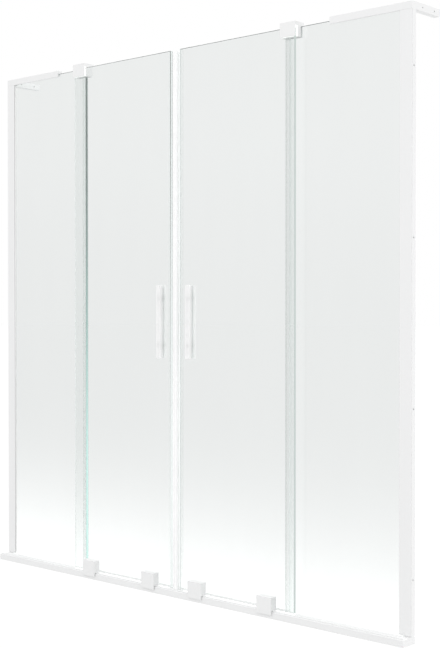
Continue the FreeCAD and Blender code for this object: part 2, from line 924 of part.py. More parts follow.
def drip_seal(word, side):
    """Tapered wiper bonded under the door's lower edge."""
    body = new_body(f"drip_body_{word}")
    tip = dim.rail_height + dim.drip_gap
    middle = (door_front + door_back) / 2
    outline = [
        (door_front + dim.glass_arris, door_bottom),
        (door_back - dim.glass_arris, door_bottom),
        (middle + dim.drip_lip / 2, tip),
        (middle - dim.drip_lip / 2, tip),
    ]
    start = lower(side, seal_end, door_outer)
    section = draw_loops(body, f"drip_section_{word}", "YZ_Plane", start, outline)
    pad(body, section, door_outer - seal_end)
    keep(body, f"drip_seal_{word}")


# Roller blocks


def block_cover(word, side, block):
    """Square cap over the roller, open below and towards the glass, whose front hangs down before the rail."""
    body = new_body(f"{block}_cover_{word}")
    wall = dim.block_wall
    near = side * block_places[block] - dim.block_width / 2
    far = near + dim.block_width
    skirt_bottom = block_bottom - dim.skirt_drop
    outline = [
        (door_front, block_bottom),
        (door_front, block_top),
        (block_front, block_top),
        (block_front, skirt_bottom),
        (block_front + wall, skirt_bottom),
        (block_front + wall, block_bottom),
    ]
    pad(body, draw_loops(body, f"{block}_section_{word}", "YZ_Plane", near, outline), dim.block_width)
    ease(
        body, "Fillet", "Radius", dim.edge_round,
        lambda edge: lies_at(edge, y=block_front) or any(lies_at(edge, x=x, z=block_top) for x in (near, far)),
    )
    depths = (block_front + wall, door_front)
    hollow = box(f"{block}_hollow_{word}", (near + wall, far - wall), depths, (block_bottom - wall, block_top - wall))
    keep(cut(f"{block}_block_cover_{word}", body, [hollow]), f"{block}_block_cover_{word}")


def carrier_plate(name, x, depths, axle_hole):
    """A plate behind the roller with holes for two bolts and, if wanted, the axle."""
    plate = box(
        f"{name}_plate", (x - carrier_half, x + carrier_half), depths, (carrier_bottom, carrier_top)
    )
    thickness = depths[1] - depths[0]
    radius = dim.bolt_radius + dim.pin_clearance
    bolt_lines = [x + sign * dim.bolt_pitch / 2 for sign in (-1, 1)]
    tools = [
        rod(f"{name}_bolt_{count}", radius, thickness, (line, depths[0], bolt_height), ALONG_Y)
        for count, line in enumerate(bolt_lines)
    ]
    if axle_hole:
        radius = dim.axle_radius + dim.pin_clearance
        tools.append(rod(f"{name}_axle", radius, thickness, (x, depths[0], wheel_height), ALONG_Y))
    return cut(name, plate, tools)


def roller_carriers(word, side):
    depths = (carrier_front, carrier_front + dim.carrier_thickness)
    plates = [
        carrier_plate(f"{block}_carrier_{word}", side * x, depths, True)
        for block, x in block_places.items()
    ]
    group(f"roller_carriers_{word}", plates)


def carrier_pads(word, side):
    depths = (door_front - dim.pad_thickness, door_front)
    plates = [
        carrier_plate(f"{block}_pad_{word}", side * x, depths, False)
        for block, x in block_places.items()
    ]
    group(f"carrier_pads_{word}", plates)


def carrier_bolts(word, side):
    """Countersunk bolts, flush with the door's back, screwed into the carriers."""
    bolts = []
    for count, x in enumerate(bolt_places(side)):
        name = f"bolt_{word}_{count}"
        length = door_back - carrier_front
        shank = rod(f"{name}_shank", dim.bolt_radius, length, (x, carrier_front, bolt_height), ALONG_Y)
        head = doc.addObject("Part::Cone", f"{name}_head")
        bind(head, Radius1=dim.bolt_radius, Radius2=dim.bolt_head_radius, Height=bolt_head_height)
        place(head, x, door_back - bolt_head_height, bolt_height, turn=ALONG_Y)
        bolts.append(join(name, [shank, head]))
    group(f"carrier_bolts_{word}", bolts)


def roller_axles(word, side):
    """Pins in the carriers, with a collar behind each bearing and a head in front of it."""
    axles = []
    bearing_front = track_line - dim.bearing_width / 2 - dim.axle_play
    bearing_back = track_line + dim.bearing_width / 2 + dim.axle_play
    head_front = bearing_front - dim.collar_thickness
    for block, place_x in block_places.items():
        x = side * place_x
        name = f"{block}_axle_{word}"
        end = carrier_front + dim.carrier_thickness
        pin = rod(f"{name}_pin", dim.axle_radius, end - head_front, (x, head_front, wheel_height), ALONG_Y)
        head_start = (x, head_front, wheel_height)
        head = rod(f"{name}_head", dim.collar_radius, dim.collar_thickness, head_start, ALONG_Y)
        collar_start = (x, bearing_back, wheel_height)
        reach = carrier_front - bearing_back
        collar = rod(f"{name}_collar", dim.collar_radius, reach, collar_start, ALONG_Y)
        axles.append(join(name, [pin, head, collar]))
    group(f"roller_axles_{word}", axles)


def roller_tyre(word, side, block):
    """Grooved nylon tyre that runs on the rail's bead."""
    body = new_body(f"{block}_tyre_{word}")
    half = dim.roller_width / 2
    groove = dim.tread_width / 2
    flange = dim.tread_radius + dim.flange_height
    outline = [
        (dim.bearing_radius, -half),
        (flange, -half),
        (flange, -groove - dim.flange_slope),
        (dim.tread_radius, -groove),
        (dim.tread_radius, groove),
        (flange, groove + dim.flange_slope),
        (flange, half),
        (dim.bearing_radius, half),
    ]
    turn_round(body, draw_loops(body, f"{block}_tyre_profile_{word}", "XY_Plane", 0, outline))
    place(body, side * block_places[block], track_line, wheel_height)
    keep(body, f"roller_tyre_{word}_{block}")


def roller_bearing(word, side, block):
    """Ball bearing as one ring, pressed into the tyre and free on the axle."""
    body = new_body(f"{block}_bearing_{word}")
    half = dim.bearing_width / 2
    bore = dim.axle_radius + dim.pin_clearance
    outline = rectangle((bore, dim.bearing_radius), (-half, half))
    turn_round(body, draw_loops(body, f"{block}_bearing_profile_{word}", "XY_Plane", 0, outline))
    place(body, side * block_places[block], track_line, wheel_height)
    keep(body, f"roller_bearing_{word}_{block}")


# Handles


def handle_bar(word, side, face):
    """Upright square-cut bar on one face of the door, with two blind bores for its studs."""
    body = new_body(f"handle_{face}_body_{word}")
    half = dim.handle_width / 2
    front = door_front - dim.handle_depth if face == "front" else door_back
    outline = rectangle((-half, half), (0, dim.handle_depth))
    pad(body, draw_loops(body, f"handle_{face}_outline_{word}", "XY_Plane", 0, outline), dim.handle_length)
    ease(body, "Fillet", "Radius", dim.handle_round, lambda edge: True)
    place(body, side * handle_place, front, dim.handle_height - dim.handle_length / 2)
    depth = dim.handle_stud_depth + dim.pin_clearance
    mouth = door_front - depth if face == "front" else door_back
    radius = dim.handle_stud_radius + dim.pin_clearance
    bores = [
        rod(f"handle_{face}_bore_{word}_{count}", radius, depth, (side * handle_place, mouth, z), ALONG_Y)
        for count, z in enumerate(handle_stud_heights())
    ]
    keep(cut(f"handle_{face}_{word}", body, bores), f"handle_{face}_{word}")


def handle_studs(word, side):
    """Studs through the glass that draw the two bars of a handle together."""
    length = dim.glass_thickness + dim.handle_stud_depth * 2
    studs = [
        rod(
            f"handle_stud_{word}_{count}", dim.handle_stud_radius, length,
            (side * handle_place, door_front - dim.handle_stud_depth, z), ALONG_Y,
        )
        for count, z in enumerate(handle_stud_heights())
    ]
    group(f"handle_studs_{word}", studs)


bottom_rail()
rail_infill()
wall_gaskets()
rail_gaskets()
brace_studs()
guide_screws()
for word, side in SIDES.items():
    for make in (
        rail_end_cap, wall_channel, cover_profile, fixed_glass, overlap_seal, brace_bar, brace_leg,
        guide_body, guide_clamp, guide_liner, door_glass, meeting_seal, magnet_strip, drip_seal,
        roller_carriers, carrier_pads, carrier_bolts, roller_axles, handle_studs,
    ):
        make(word, side)
    for block in block_places:
        block_cover(word, side, block)
        roller_tyre(word, side, block)
        roller_bearing(word, side, block)
    for face in ("front", "back"):
        handle_bar(word, side, face)

doc.recompute()
for item in doc.Objects:
    if "Invalid" in item.State or "Error" in item.State:
        raise RuntimeError(f"{item.Name} failed: {item.State}")
for node in nodes:
    if node.Shape.isNull() or not node.Shape.isValid():
        raise RuntimeError(f"{node.Label} has no valid shape")

os.makedirs("parts", exist_ok=True)
for node in nodes:
    node.Shape.exportStep(f"parts/{node.Label}.step")
    print(f"{node.Label}: {len(node.Shape.Solids)} solids, {node.Shape.Volume / 1000:.2f} cm3")
print(f"{len(nodes)} nodes")
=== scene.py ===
# %% [markdown]
# # A sliding bath screen, dressed
#
# The packed model gives every rail, pane, block and roller its exact size and place.
# This lesson gives them their looks: clear glass with green edges, white powder coat, soft clear seals,
# and a bright studio round them.
# Lengths are metres. +X runs along the bath's rim, +Y into the bath and +Z up.

import json
import math

import bpy
import numpy as np
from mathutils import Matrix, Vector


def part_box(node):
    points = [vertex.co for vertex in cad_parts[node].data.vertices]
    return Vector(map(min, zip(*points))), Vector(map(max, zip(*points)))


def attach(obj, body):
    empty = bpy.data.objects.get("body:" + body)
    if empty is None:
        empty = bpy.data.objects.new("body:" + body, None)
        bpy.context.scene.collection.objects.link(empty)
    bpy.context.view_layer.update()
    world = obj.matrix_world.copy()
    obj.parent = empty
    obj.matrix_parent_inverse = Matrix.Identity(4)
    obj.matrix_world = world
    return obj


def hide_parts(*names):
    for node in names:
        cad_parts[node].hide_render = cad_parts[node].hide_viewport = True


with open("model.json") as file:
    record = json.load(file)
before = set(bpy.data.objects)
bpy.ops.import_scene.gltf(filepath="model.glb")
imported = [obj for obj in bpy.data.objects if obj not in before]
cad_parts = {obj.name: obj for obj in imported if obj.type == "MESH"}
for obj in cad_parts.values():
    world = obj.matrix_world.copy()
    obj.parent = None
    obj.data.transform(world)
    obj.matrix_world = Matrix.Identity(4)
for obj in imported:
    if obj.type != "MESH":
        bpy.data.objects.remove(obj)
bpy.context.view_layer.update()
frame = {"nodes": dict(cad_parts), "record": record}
nodes = frame["nodes"]
MM = 0.001

# %% [markdown]
# ## Shader arithmetic
#
# A material's colour and roughness are formulas of a point on the surface.
# In Blender each step of such a formula is a node, and a page of node calls hides the formula.
# A small class that wraps a socket and knows + - * and ** lets the formula be written as one line.
# Every other node comes from one method, which takes the node's type, its settings and its inputs.

# %% Sockets with arithmetic


class Wire:
    """An output socket of a node tree. Arithmetic on it adds Math nodes."""

    def __init__(self, graph, socket):
        self.graph = graph
        self.socket = socket

    def output(self, name):
        """Another output of the node that this one belongs to, by name or by number."""
        return Wire(self.graph, self.socket.node.outputs[name])

    def math(self, operation, *others):
        inputs = dict(enumerate((self, *others)))
        return self.graph.node("ShaderNodeMath", {"operation": operation}, inputs)

    def __add__(self, other):
        return self.math("ADD", other)

    def __sub__(self, other):
        return self.math("SUBTRACT", other)

    def __rsub__(self, other):
        return self * -1 + other

    def __mul__(self, other):
        return self.math("MULTIPLY", other)

    def __pow__(self, other):
        return self.math("POWER", other)

    def __abs__(self):
        return self.math("ABSOLUTE")

    def either(self, other):
        """The larger of two masks."""
        return self.math("MAXIMUM", other)

    def ramp(self, low, high, start=0.0, end=1.0):
        """Goes smoothly from start to end while this value goes from low to high."""
        inputs = {"Value": self, "From Min": low, "From Max": high, "To Min": start, "To Max": end}
        return self.graph.node("ShaderNodeMapRange", {"interpolation_type": "SMOOTHSTEP"}, inputs)

    __radd__ = __add__
    __rmul__ = __mul__


print(Wire.__doc__)

# %% Node trees and materials

# The Mix node's sockets for colours go by number, because those for numbers have the same names.
COLOUR_LOW, COLOUR_HIGH, COLOUR_OUT = 6, 7, 2


class Graph:
    """A node tree in the making."""

    def __init__(self, tree):
        self.tree = tree
        tree.nodes.clear()

    def node(self, kind, settings=None, inputs=None):
        """Adds a node of one type and returns its first output."""
        node = self.tree.nodes.new(kind)
        for name, value in (settings or {}).items():
            setattr(node, name, value)
        for name, value in (inputs or {}).items():
            if isinstance(value, Wire):
                self.tree.links.new(value.socket, node.inputs[name])
            else:
                node.inputs[name].default_value = value
        return Wire(self, node.outputs[0]) if node.outputs else None

    def place(self):
        """The point's own coordinates on the piece, in metres."""
        return self.node("ShaderNodeTexCoord").output("Object")

    def normal(self):
        """The direction in which the surface faces."""
        return self.node("ShaderNodeNewGeometry").output("Normal")

    def split(self, vector):
        """The three numbers of a vector."""
        x = self.node("ShaderNodeSeparateXYZ", inputs={"Vector": vector})
        return x, x.output("Y"), x.output("Z")

    def noise(self, point, scale, detail=2.0):
        """Soft random value about one half, with features of size 1 / scale metres."""
        return self.node("ShaderNodeTexNoise", inputs={"Vector": point, "Scale": scale, "Detail": detail})

    def drawn_noise(self, point, scales, detail):
        """Noise with a scale for each axis, so that it is drawn out along the axes with small ones."""
        drawn = self.node("ShaderNodeVectorMath", {"operation": "MULTIPLY"}, {0: point, 1: scales})
        return self.noise(drawn, 1.0, detail)

    def mix(self, factor, low, high):
        """One colour where the factor is 0, the other where it is 1."""
        inputs = {"Factor": factor, COLOUR_LOW: low, COLOUR_HIGH: high}
        return self.node("ShaderNodeMix", {"data_type": "RGBA"}, inputs).output(COLOUR_OUT)

    def blend(self, factor, low, high):
        """One shader where the factor is 0, the other where it is 1."""
        return self.node("ShaderNodeMixShader", inputs={0: factor, 1: low, 2: high})

    def bump(self, height, distance):
        """A normal tilted by a height field; distance is the field's real height in metres."""
        return self.node("ShaderNodeBump", inputs={"Height": height, "Distance": distance, "Strength": 1.0})


def new_material(name, build):
    """A material whose surface shader the build function makes in an empty node tree."""
    material = bpy.data.materials.new(name)
    material.use_nodes = True
    graph = Graph(material.node_tree)
    graph.node("ShaderNodeOutputMaterial", inputs={"Surface": build(graph)})
    return material


print(Graph.__doc__)

# %% [markdown]
# ## Camera
#
# The photograph looks along the screen from the right, from about the middle of its height.
# A camera could be moved by eye until the pictures agree, but a small error would then hide in the lens.
# So the place and the turn come from the straight edges of the rail, the profiles and the braces:
# their slopes in the picture leave room for one camera only, once the screen's size is given.

# %% The camera at the photograph's place
PICTURE = (440, 648)
FOCAL_PIXELS = 1226
SENSOR = 36.0
CAMERA_PLACE = (2.333, -2.403, 0.787)
CAMERA_TILT = math.radians(89.25)
CAMERA_TURN = math.radians(42.17)
CAMERA_REACH = 100
camera = bpy.data.cameras.new("camera")
camera.sensor_width = SENSOR
camera.lens = FOCAL_PIXELS / max(PICTURE) * SENSOR
camera.clip_end = CAMERA_REACH
camera_object = bpy.data.objects.new("camera", camera)
camera_object.location = CAMERA_PLACE
camera_object.rotation_euler = (CAMERA_TILT, 0, CAMERA_TURN)
bpy.context.scene.collection.objects.link(camera_object)
bpy.context.scene.camera = camera_object
print(f"lens {camera.lens:.1f} mm")

# %% [markdown]
# ## Powder coat
#
# The rail, profiles, braces, blocks and handles are aluminium with baked white powder.
# Molten powder never levels quite flat: it dries to a fine orange peel with dimples about a millimetre wide.
# A picture of paint could be wrapped round them, but it would repeat and show its edges.
# So a noise of the dimples' size tilts the normal and changes the gloss a little.
# Tops at the foot lie between panes and get less of the studio's light, so they get painted light instead.
# The brace legs behind the glass get painted light too, on their undersides and inward faces.
# Each profile's side that the glass enters is painted grey: painted shade for the narrow space by the glass.

# %% White powder coat


def grey(level):
    """A colour without a hue."""
    return (level, level, level, 1)


BLACK = grey(0)
WHITE_COAT = (0.81, 0.813, 0.816, 1)
PALER_COAT = (0.835, 0.837, 0.838, 1)
# painted shade: grey on the profiles' inward sides beside the glass
PAINTED_SHADE_INWARD = grey(0.3)
# painted light: an emission on upward faces low down, standing in for the studio's light
PAINTED_LIGHT_ON_TOPS = grey(0.16)
# painted light on the brace legs' undersides and inward faces
PAINTED_LIGHT_FROM_BELOW = grey(0.12)
NOISE_SPAN = (0.2, 0.8)
COAT_ROUGHNESS = (0.36, 0.5)
COAT_MIRROR = 0.12
CLOUDS = 6
DIMPLES = 900
DIMPLE_DEPTH = 0.03 * MM
FACING_UP, FACING_DOWN = (0.7, 0.9), (-0.7, -0.9)
FACING_INWARDS = (-0.3, -0.5)
TO_THE_FOOT = (0.1, 0.08)


def powder_coat(inner, painted_glow):
    """Paint; inward faces get the inner colour (painted shade if grey), they and undersides painted light."""

    def build(graph):
        point = graph.place()
        along, _, height = graph.split(point)
        sideways, _, upright = graph.split(graph.normal())
        inward = (sideways * along).ramp(*FACING_INWARDS)
        top = upright.ramp(*FACING_UP) * height.ramp(*TO_THE_FOOT)
        coat = graph.mix(graph.noise(point, CLOUDS), WHITE_COAT, PALER_COAT)
        painted_lift = graph.mix(inward.either(upright.ramp(*FACING_DOWN)), BLACK, painted_glow)
        peel = graph.noise(point, DIMPLES, detail=3)
        return graph.node("ShaderNodeBsdfPrincipled", inputs={
            # the inner colour is painted shade on the profiles' inward sides
            "Base Color": graph.mix(inward, coat, inner),
            # painted light: on tops at the foot, and on the brace legs' undersides and inward faces
            "Emission Color": graph.mix(top, painted_lift, PAINTED_LIGHT_ON_TOPS),
            "Emission Strength": 1.0,
            "Roughness": peel.ramp(*NOISE_SPAN, *COAT_ROUGHNESS),
            "Normal": graph.bump(peel, DIMPLE_DEPTH),
            "Specular IOR Level": COAT_MIRROR,
        })

    return build


white_paint = new_material("white_powder_coat", powder_coat(WHITE_COAT, BLACK))
# the profiles' paint, with painted shade on the inward sides
painted_shade_paint = new_material("powder_coat_painted_shade", powder_coat(PAINTED_SHADE_INWARD, BLACK))
# the brace legs' paint, with painted light on undersides and inward faces
painted_light_paint = new_material("powder_coat_painted_light", powder_coat(WHITE_COAT, PAINTED_LIGHT_FROM_BELOW))
print("paint", [m.name for m in (white_paint, painted_shade_paint, painted_light_paint)])

# %% [markdown]
# ## Parts of a pane
#
# A pane of toughened glass shows two things: a faint grey from the light that its faces throw back,
# and its ground edges. The edges could be pieces of their own, but their seams would show in the glass.
# So one material covers the pane, and the normal tells its parts from each other:
# an edge's normal lies in the pane's plane, and the Geometry node says whether it is met from inside.
# From inside, that node turns the normal round, so its upright part changes sign there.
# The top edges, and the sides of the edges where the doors meet, get painted shade: dark green, no emission.

# %% Where on a pane a point lies
DOOR_FRONT, DOOR_BACK = (corner[1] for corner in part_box("door_glass_left"))
DOOR_MIDDLE = (DOOR_FRONT + DOOR_BACK) / 2
DOOR_HALF = (DOOR_BACK - DOOR_FRONT) / 2
RIM = 2.2 * MM
RIM_REACH = (0.1, 0.05)
RIM_RISE = (0.15, 1.4)
FACE_TO_EDGE = (0.7, 0.5)
FACE_TO_RIM = (0.95, 0.85)
SIDE_TO_TOP, SIDE_TO_FOOT = (0.6, 0.8), (-0.6, -0.8)


def painted_shade_rim(x, y, z):
    """Painted shade on the sides of the edges where the doors meet, strongest high up."""
    beside = abs(y - DOOR_MIDDLE).ramp(DOOR_HALF - RIM, DOOR_HALF - RIM / 2)
    return beside * abs(x).ramp(*RIM_REACH) * z.ramp(*RIM_RISE)


def pane_masks(graph, point):
    """Four masks: on an edge, on an edge with painted shade, on the foot, and met from inside the pane."""
    geometry = graph.node("ShaderNodeNewGeometry")
    _, across, upright = graph.split(geometry.output("Normal"))
    within = geometry.output("Backfacing")
    rising = upright * (1 - within * 2)
    rim = abs(across).ramp(*FACE_TO_RIM) * painted_shade_rim(*graph.split(point)) * (1 - within)
    edge = abs(across).ramp(*FACE_TO_EDGE)
    dark = rising.ramp(*SIDE_TO_TOP).either(rim)
    foot = rising.ramp(*SIDE_TO_FOOT)
    return edge, dark, foot, within


print(f"door glass {(DOOR_BACK - DOOR_FRONT) / MM:.1f} mm thick")

# %% [markdown]
# ## Glass
#
# The faces are clear, with faint smears that run upright.
# An edge is matt. From outside it shows the green of the long way through the pane, with painted light:
# an emission that grows low down on the fixed panes, where the bright floor would shine into them,
# and that changes from the outer edge to the meeting edge on the doors.
# From inside it is pale, with painted light for the daylight that falls on it from beyond.
# At the foot the emission is the white rail's colour: a painted reflection of the rail below.
# Light that only brightens other pieces could be bent by the glass too, but takes many samples to settle.
# So it passes straight through both faces of a pane: most of the dome's light, which keeps what is behind
# the glass bright, and about a third of a lamp's, so that pieces before the glass have darker sides.

# %% Clear faces, matt edges and the light that passes
CLEAR_TINTS = ((0.938, 0.956, 0.95, 1), (0.956, 0.974, 0.967, 1))
SMEARS = (14, 14, 3)
SMEAR_SPAN = (0.6, 0.8)
SMEAR_ROUGHNESS = (0.0, 0.01)
GLASS_IOR = 1.5
EDGE_GRAIN = 1500
EDGE_ROUGHNESS = (0.5, 0.7)
EDGE_MIRROR = 0.2
# DEEP_GREEN is also the painted shade of the top edges and the meeting sides
DEEP_GREEN = (0.03, 0.055, 0.05, 1)
PASSED_DOME = (0.93, 0.94, 0.937, 1)
PASSED_LAMP = (0.55, 0.56, 0.557, 1)


def clear_face(graph, point):
    smear = graph.drawn_noise(point, SMEARS, detail=4)
    return graph.node("ShaderNodeBsdfPrincipled", inputs={
        "Base Color": graph.mix(smear, *CLEAR_TINTS),
        "Roughness": smear.ramp(*SMEAR_SPAN, *SMEAR_ROUGHNESS),
        "IOR": GLASS_IOR,
        "Transmission Weight": 1.0,
    })


def matt_edge(graph, point, ground, painted_glow, dark, within):
    """A ground edge with painted light as emission, except where painted shade leaves it dark green."""
    grain = graph.noise(point, EDGE_GRAIN, detail=3)
    return graph.node("ShaderNodeBsdfPrincipled", inputs={
        "Base Color": graph.mix(dark.either(within), graph.mix(grain, *ground), DEEP_GREEN),
        "Roughness": grain.ramp(*NOISE_SPAN, *EDGE_ROUGHNESS),
        "Specular IOR Level": EDGE_MIRROR,
        # painted light as emission, none where the edge has painted shade
        "Emission Color": graph.mix(dark, painted_glow, BLACK),
        "Emission Strength": 1.0,
    })


def let_light_pass(graph, pane):
    """The pane for sight, and a thin veil for light on its way to other pieces."""
    path = graph.node("ShaderNodeLightPath")
    to_lamp = path.output("Is Shadow Ray")
    dome_veil = graph.node("ShaderNodeBsdfTransparent", inputs={"Color": PASSED_DOME})
    lamp_veil = graph.node("ShaderNodeBsdfTransparent", inputs={"Color": PASSED_LAMP})
    veil = graph.blend(to_lamp, dome_veil, lamp_veil)
    return graph.blend(to_lamp.either(path.output("Is Diffuse Ray")), pane, veil)


print(f"a pane passes {PASSED_DOME[1] ** 2:.2f} of the dome's light, {PASSED_LAMP[1] ** 2:.2f} of a lamp's")

# %% The glass of the fixed panes and of the doors
# painted reflection: the feet of the edges take the rail's white as emission
PAINTED_RAIL_REFLECTION = grey(0.96)
CLEAR_FROM_WITHIN = 0.25
TOP_TO_FOOT = (1.45, 0.2)
FOOT_CURVE = 1.5
OUTER_TO_MEETING = (0.3, 0.1)


def sheet_glass(ground, outside, inside, share):
    """Pairs of colours: of the ground edge, and of its painted light from outside and inside, which share
    mixes.
    """

    def build(graph):
        point = graph.place()
        edge, dark, foot, within = pane_masks(graph, point)
        part = share(*graph.split(point))
        sides = graph.mix(within, graph.mix(part, *outside), graph.mix(part, *inside))
        painted_glow = graph.mix(foot, sides, PAINTED_RAIL_REFLECTION)
        matt = matt_edge(graph, point, ground, painted_glow, dark, within)
        is_matt = dark.either(edge * (1 - within * CLEAR_FROM_WITHIN))
        return let_light_pass(graph, graph.blend(is_matt, clear_face(graph, point), matt))

    return build


def more_at_the_foot(_x, _y, z):
    return z.ramp(*TOP_TO_FOOT) ** FOOT_CURVE


def more_at_the_meeting(x, _y, _z):
    return abs(x).ramp(*OUTER_TO_MEETING)


# The outside and inside pairs are painted light: emission colours on the edges.
fixed_glass = new_material("fixed_pane_glass", sheet_glass(
    ground=((0.03, 0.075, 0.06, 1), (0.05, 0.1, 0.085, 1)),
    outside=(BLACK, (0.65, 1.03, 0.97, 1)),
    inside=((0.66, 0.68, 0.673, 1), (0.85, 0.87, 0.863, 1)),
    share=more_at_the_foot))
door_glass = new_material("door_glass", sheet_glass(
    ground=((0.13, 0.16, 0.15, 1), (0.17, 0.2, 0.19, 1)),
    outside=((0.44, 0.48, 0.465, 1), (0.8, 0.82, 0.815, 1)),
    inside=((0.84, 0.86, 0.853, 1), (0.68, 0.7, 0.693, 1)),
    share=more_at_the_meeting))
print("glass", fixed_glass.name, door_glass.name)

# %% [markdown]
# ## Panes
#
# A pane is cut, its corners are taken off, and a wheel rounds its edges to what is called an arris.
# A box with a bevel would do, but here the shape is a stack of rings through the thickness.
# Each ring is the pane's outline, drawn in by the arris's quarter circle near either face.
# The stack lies a hair inside the exact solid, so that no face of it falls on a face of a seal or a handle.

# %% Rings through the thickness
CORNER = 2 * MM
CORNER_POINTS = 6
ARRIS = 0.8 * MM
ARRIS_RINGS = 5
QUARTER = math.pi / 2


def rounded_outlines(half_wide, half_tall, radius):
    """Points round rectangles, a row for each: at a corner, its circle's middle + radius * (cos t, sin t)."""
    corner = np.repeat(np.arange(4), CORNER_POINTS)
    turn = corner * QUARTER + np.tile(np.linspace(0, QUARTER, CORNER_POINTS), 4)
    side_x = np.where(np.isin(corner, (0, 3)), 1, -1)
    side_z = np.where(corner < 2, 1, -1)
    x = side_x * (half_wide - radius) + radius * np.cos(turn)
    z = side_z * (half_tall - radius) + radius * np.sin(turn)
    return x, z


def pane_rings(low, high):
    """At angle t of the arris, the outline is drawn in by arris * (1 - sin t), arris * (1 - cos t) deep."""
    middle, half = (low + high) / 2, (high - low) / 2
    turn = np.linspace(0, QUARTER, ARRIS_RINGS)
    inset = ARRIS * (1 - np.sin(turn))
    depth = ARRIS * (1 - np.cos(turn))
    insets = np.concatenate([inset, inset[::-1]])[:, None]
    depths = np.concatenate([low[1] + depth, high[1] - depth[::-1]])[:, None]
    x, z = rounded_outlines(half[0] - insets, half[2] - insets, CORNER - insets)
    return np.stack([middle[0] + x, np.broadcast_to(depths, x.shape), middle[2] + z], axis=-1)


def ring_faces(rings, count):
    """Quads between neighbouring rings of a stack, and a flat face on either end."""
    ring, spot = np.meshgrid(np.arange(rings - 1), np.arange(count), indexing="ij")
    here = ring * count + spot
    beside = ring * count + (spot + 1) % count
    quads = np.stack([here, here + count, beside + count, beside], axis=-1).reshape(-1, 4)
    last = (rings - 1) * count
    return [*quads.tolist(), list(range(count)), list(range(last, last + count))[::-1]]


print(f"{2 * ARRIS_RINGS} rings of {4 * CORNER_POINTS} points")

# %% The four panes
SKIN = 0.05 * MM


def pane(node, body, material):
    """A pane in place of a node, on the body that carries it."""
    low, high = (np.array(corner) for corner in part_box(node))
    rings = pane_rings(low + SKIN, high - SKIN)
    mesh = bpy.data.meshes.new(f"{node}_pane")
    mesh.from_pydata(np.reshape(rings, (-1, 3)), [], ring_faces(*rings.shape[:2]))
    mesh.materials.append(material)
    piece = bpy.data.objects.new(f"{node}_pane", mesh)
    bpy.context.scene.collection.objects.link(piece)
    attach(piece, body)
    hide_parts(node)
    return piece


panes = []
for side in ("left", "right"):
    panes.append(pane(f"fixed_glass_{side}", "frame", fixed_glass))
    panes.append(pane(f"door_glass_{side}", f"{side}_door", door_glass))
print("panes", [(p.name, len(p.data.polygons)) for p in panes])

# %% [markdown]
# ## Clear seals
#
# The meeting seals and the overlap seals are extruded from soft clear plastic.
# Such a strip is nearly invisible face on and shows as a thin grey line where it is seen along its wall.
# Real refraction in so thin a wall would take much time for little to see.
# So it is a transparent surface that turns to a pale glossy one towards its outline.
# The wiping tip of each overlap seal is a second, greyer compound, run along the lip's end.
# The drip seals are of a milkier kind, which comes with the white plastics.

# %% Soft clear plastic
LIP_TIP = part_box("overlap_seal_right")[0][0] + 0.5 * MM
INTO_THE_TIP = (1.2 * MM, 0.6 * MM)
FILM_TINTS = ((0.92, 0.94, 0.935, 1), (0.96, 0.975, 0.97, 1))
TIP_TINT = (0.7, 0.74, 0.73, 1)
PASSED_SEAL = (0.993, 0.997, 0.996, 1)
DRAW_LINES = (400, 400, 4)
FILM_ROUGHNESS = (0.12, 0.28)
OUTLINE_BLEND = 0.3
FACE_SHARE = 0.01
OUTLINE_SHARE = (0.04, 0.09)
TIP_SHARE = 0.25


def soft_clear(graph):
    point = graph.place()
    draw = graph.drawn_noise(point, DRAW_LINES, detail=3)
    along = graph.split(point)[0]
    tip = abs(abs(along) - LIP_TIP).ramp(*INTO_THE_TIP)
    film = graph.node("ShaderNodeBsdfPrincipled", inputs={
        "Base Color": graph.mix(tip, graph.mix(draw, *FILM_TINTS), TIP_TINT),
        "Roughness": draw.ramp(*NOISE_SPAN, *FILM_ROUGHNESS),
    })
    clear = graph.node("ShaderNodeBsdfTransparent", inputs={"Color": PASSED_SEAL})
    outline = graph.node("ShaderNodeLayerWeight", inputs={"Blend": OUTLINE_BLEND}).output("Facing")
    share = FACE_SHARE + outline * draw.ramp(*NOISE_SPAN, *OUTLINE_SHARE) + tip * TIP_SHARE
    return graph.blend(share, clear, film)


clear_seal = new_material("soft_clear_plastic", soft_clear)
print(f"seals {clear_seal.name}, tips {LIP_TIP / MM:.1f} mm from the middle")

# %% [markdown]
# ## White plastics and the handles
#
# The magnet strips, the rail's infill, the silicone, the nylon liners and tyres and the milky drip seals
# are white plastics: light enters them, wanders a few millimetres and comes out elsewhere,
# so their corners and hollows stay pale.
# The handle bars are painted, but look as soft in the photograph, so they are made here too.
# A plain white surface would go grey where a handle meets the glass.
# Subsurface scattering keeps it lighter there. Each also has painted light, a faint emission,
# which on the magnets is stronger on their sides.
# One function makes them all, because they differ only in colour, grain, gloss, depth of light and painted
# light.

# %% White plastics
DRIFT = 9
GRAIN_DEPTH = 0.03 * MM
ROUGHNESS_SPREAD = 0.15


def pale_plastic(low, high, grain, roughness, depth, painted_glow, painted_side_glow=0.0):
    """A fine grain, a slow drift of colour, light that goes some depth in, and painted light, more on the
    sides.
    """

    def build(graph):
        point = graph.place()
        fine = graph.noise(point, grain, detail=3)
        sideways = graph.split(graph.normal())[0]
        return graph.node("ShaderNodeBsdfPrincipled", inputs={
            "Base Color": graph.mix(graph.noise(point, DRIFT), low, high),
            "Roughness": fine.ramp(*NOISE_SPAN, roughness, roughness + ROUGHNESS_SPREAD),
            "Normal": graph.bump(fine, GRAIN_DEPTH),
            "Subsurface Weight": 1.0,
            "Subsurface Radius": (1, 1, 1),
            "Subsurface Scale": depth,
            # painted light: an emission, stronger on faces that look sideways
            "Emission Color": graph.mix(abs(sideways), grey(painted_glow), grey(painted_glow + painted_side_glow)),
            "Emission Strength": 1.0,
        })

    return build


